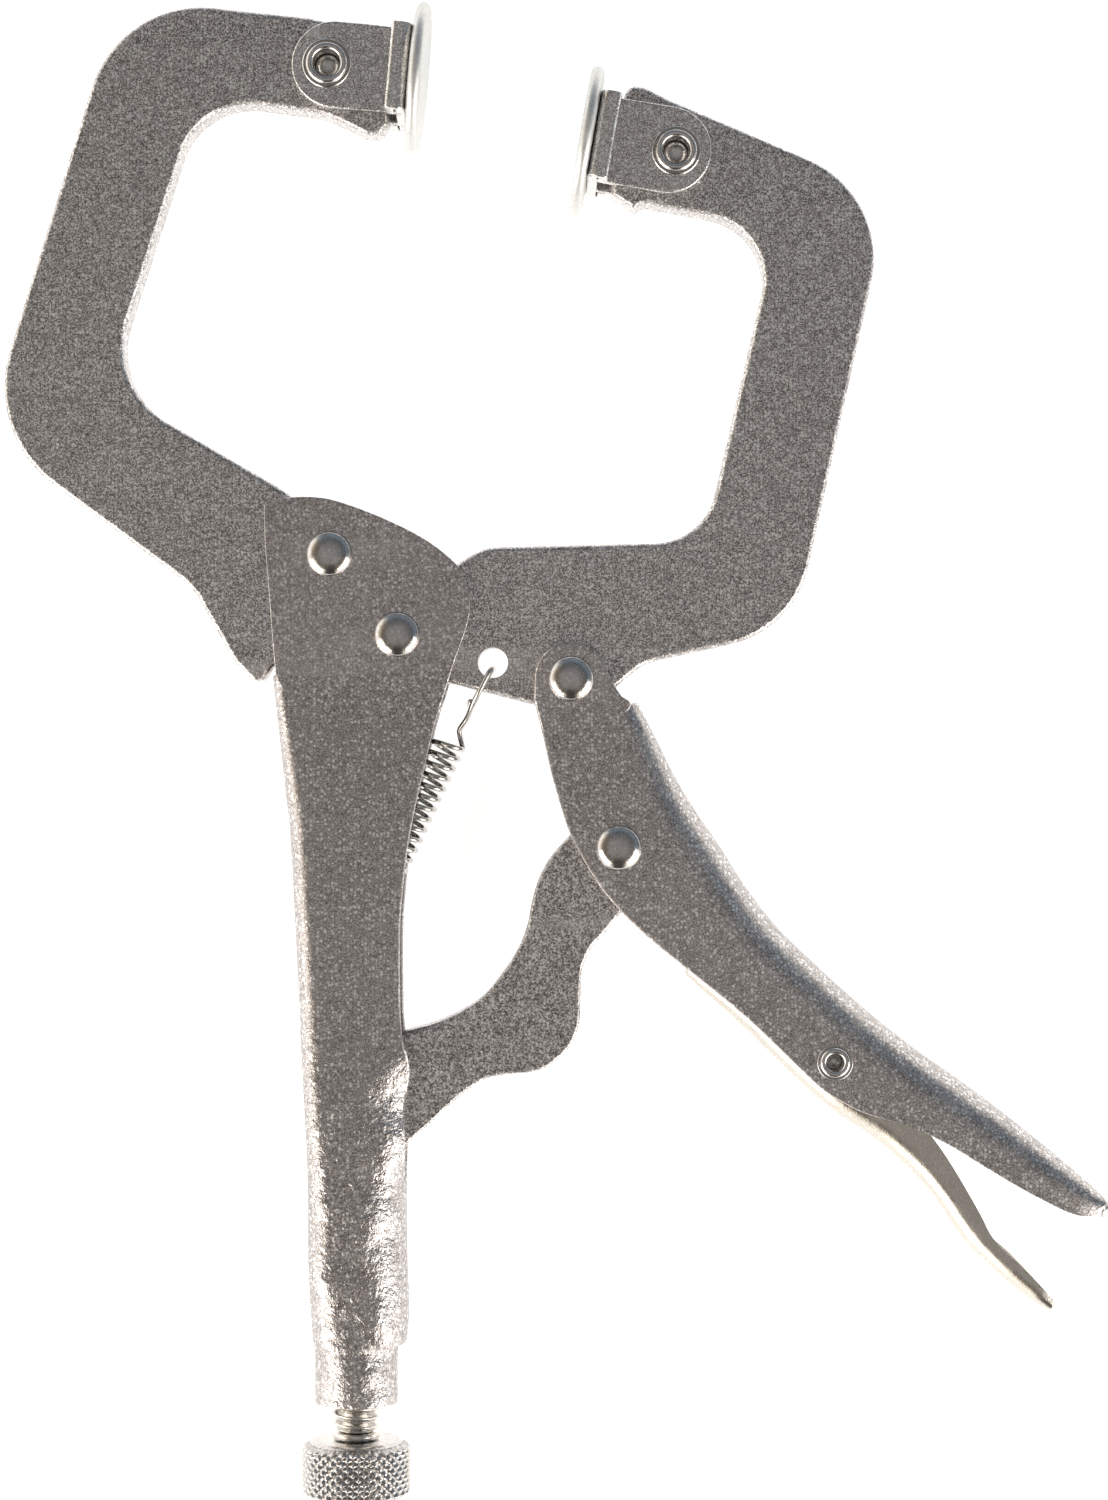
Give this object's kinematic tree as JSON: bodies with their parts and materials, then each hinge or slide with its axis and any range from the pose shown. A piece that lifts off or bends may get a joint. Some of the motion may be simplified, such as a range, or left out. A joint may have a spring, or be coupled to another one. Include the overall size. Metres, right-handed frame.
{
  "type": "locking c clamp",
  "caption": "Locking C clamp with swivel pads: a toggle lever closes the moving arm, a release lever frees it, and a knurled screw sets the jaw.",
  "frame": {"origin": "under the middle of the clamp's bounding box, on the plane it lies flat on", "axes": "+Y from the adjusting knob towards the jaws, +X towards the moving jaw, +Z the clamp's thickness, away from the ground"},
  "size_m": [0.1819, 0.247, 0.025],
  "materials": {
    "fixed_handle": "satin nickel plate with a fine grain",
    "fixed_jaw_arm": "satin nickel plate with a fine grain",
    "fixed_jaw_rivet": "bright nickel plate",
    "jaw_pivot_rivet": "bright nickel plate",
    "adjusting_nut": "satin nickel plate with a fine grain",
    "spring_anchor_pin": "satin nickel plate with a fine grain",
    "return_spring": "bright nickel plate",
    "fixed_pad_rivet": "bright nickel plate",
    "moving_jaw_arm": "satin nickel plate with a fine grain",
    "lever_pivot_rivet": "bright nickel plate",
    "moving_pad_rivet": "bright nickel plate",
    "lever": "satin nickel plate with a fine grain",
    "link_rivet": "bright nickel plate",
    "release_lever_rivet": "bright nickel plate",
    "toggle_link": "satin nickel plate with a fine grain",
    "release_lever": "satin nickel plate with a fine grain",
    "fixed_pad_bracket": "satin nickel plate with a fine grain",
    "fixed_pad_disc": "satin nickel plate with a fine grain",
    "moving_pad_bracket": "satin nickel plate with a fine grain",
    "moving_pad_disc": "satin nickel plate with a fine grain",
    "screw_collar": "bright nickel plate",
    "adjusting_screw": "satin nickel plate with a fine grain",
    "knurled_knob": "bright nickel plate"
  },
  "bodies": {
    "frame_body": {"fixed_handle": "fixed_handle", "fixed_jaw_arm": "fixed_jaw_arm", "fixed_jaw_rivet": "fixed_jaw_rivet", "jaw_pivot_rivet": "jaw_pivot_rivet", "adjusting_nut": "adjusting_nut", "spring_anchor_pin": "spring_anchor_pin", "return_spring": "return_spring", "fixed_pad_rivet": "fixed_pad_rivet"},
    "moving_jaw": {"moving_jaw_arm": "moving_jaw_arm", "lever_pivot_rivet": "lever_pivot_rivet", "moving_pad_rivet": "moving_pad_rivet"},
    "lever_body": {"lever": "lever", "link_rivet": "link_rivet", "release_lever_rivet": "release_lever_rivet"},
    "link_body": {"toggle_link": "toggle_link"},
    "release_body": {"release_lever": "release_lever"},
    "fixed_pad": {"fixed_pad_bracket": "fixed_pad_bracket", "fixed_pad_disc": "fixed_pad_disc"},
    "moving_pad": {"moving_pad_bracket": "moving_pad_bracket", "moving_pad_disc": "moving_pad_disc"},
    "screw_carrier": {"screw_collar": "screw_collar"},
    "screw_body": {"adjusting_screw": "adjusting_screw", "knurled_knob": "knurled_knob"}
  },
  "joints": [
    {"name": "jaw_pivot", "type": "hinge", "parent": "frame_body", "child": "moving_jaw", "pos_m": [-0.02602, 0.0189, 0.0125], "axis": [0, 0, 1], "range_deg": [0, 15.5], "stiffness_Nm_per_rad": 0.5, "springref_deg": -14.32, "deforming": ["return_spring"]},
    {"name": "lever_pivot", "type": "hinge", "parent": "moving_jaw", "child": "lever_body", "pos_m": [0.00248, 0.0117, 0.0125], "axis": [0, 0, 1], "range_deg": [-39.6, 0]},
    {"name": "link_pivot", "type": "hinge", "parent": "lever_body", "child": "link_body", "pos_m": [0.01028, -0.016, 0.0125], "axis": [0, 0, 1], "range_deg": [0, 34.8]},
    {"name": "release_pivot", "type": "hinge", "parent": "lever_body", "child": "release_body", "pos_m": [0.04558, -0.05105, 0.0125], "axis": [0, 0, -1], "range_deg": [-7, 0]},
    {"name": "fixed_pad_tilt", "type": "hinge", "parent": "frame_body", "child": "fixed_pad", "pos_m": [-0.03752, 0.1124, 0.0125], "axis": [0, 0, -1], "range_deg": [-12, 5]},
    {"name": "moving_pad_tilt", "type": "hinge", "parent": "moving_jaw", "child": "moving_pad", "pos_m": [0.01968, 0.0981, 0.0125], "axis": [0, 0, -1], "range_deg": [-8, 12]},
    {"name": "screw_travel", "type": "slide", "parent": "frame_body", "child": "screw_carrier", "axis": [0, -1, 0], "range_m": [0, 0.012]},
    {"name": "knob_turn", "type": "hinge", "parent": "screw_carrier", "child": "screw_body", "pos_m": [-0.03302, -0.1, 0.0125], "axis": [0, -1, 0], "range_deg": [0, 2880]}
  ],
  "couplings": [
    {"joint": "lever_pivot", "follows": "jaw_pivot", "ratio": -2.5463},
    {"joint": "link_pivot", "follows": "jaw_pivot", "ratio": 2.2387},
    {"joint": "knob_turn", "follows": "screw_travel", "rad_per_m": 4188.5}
  ]
}
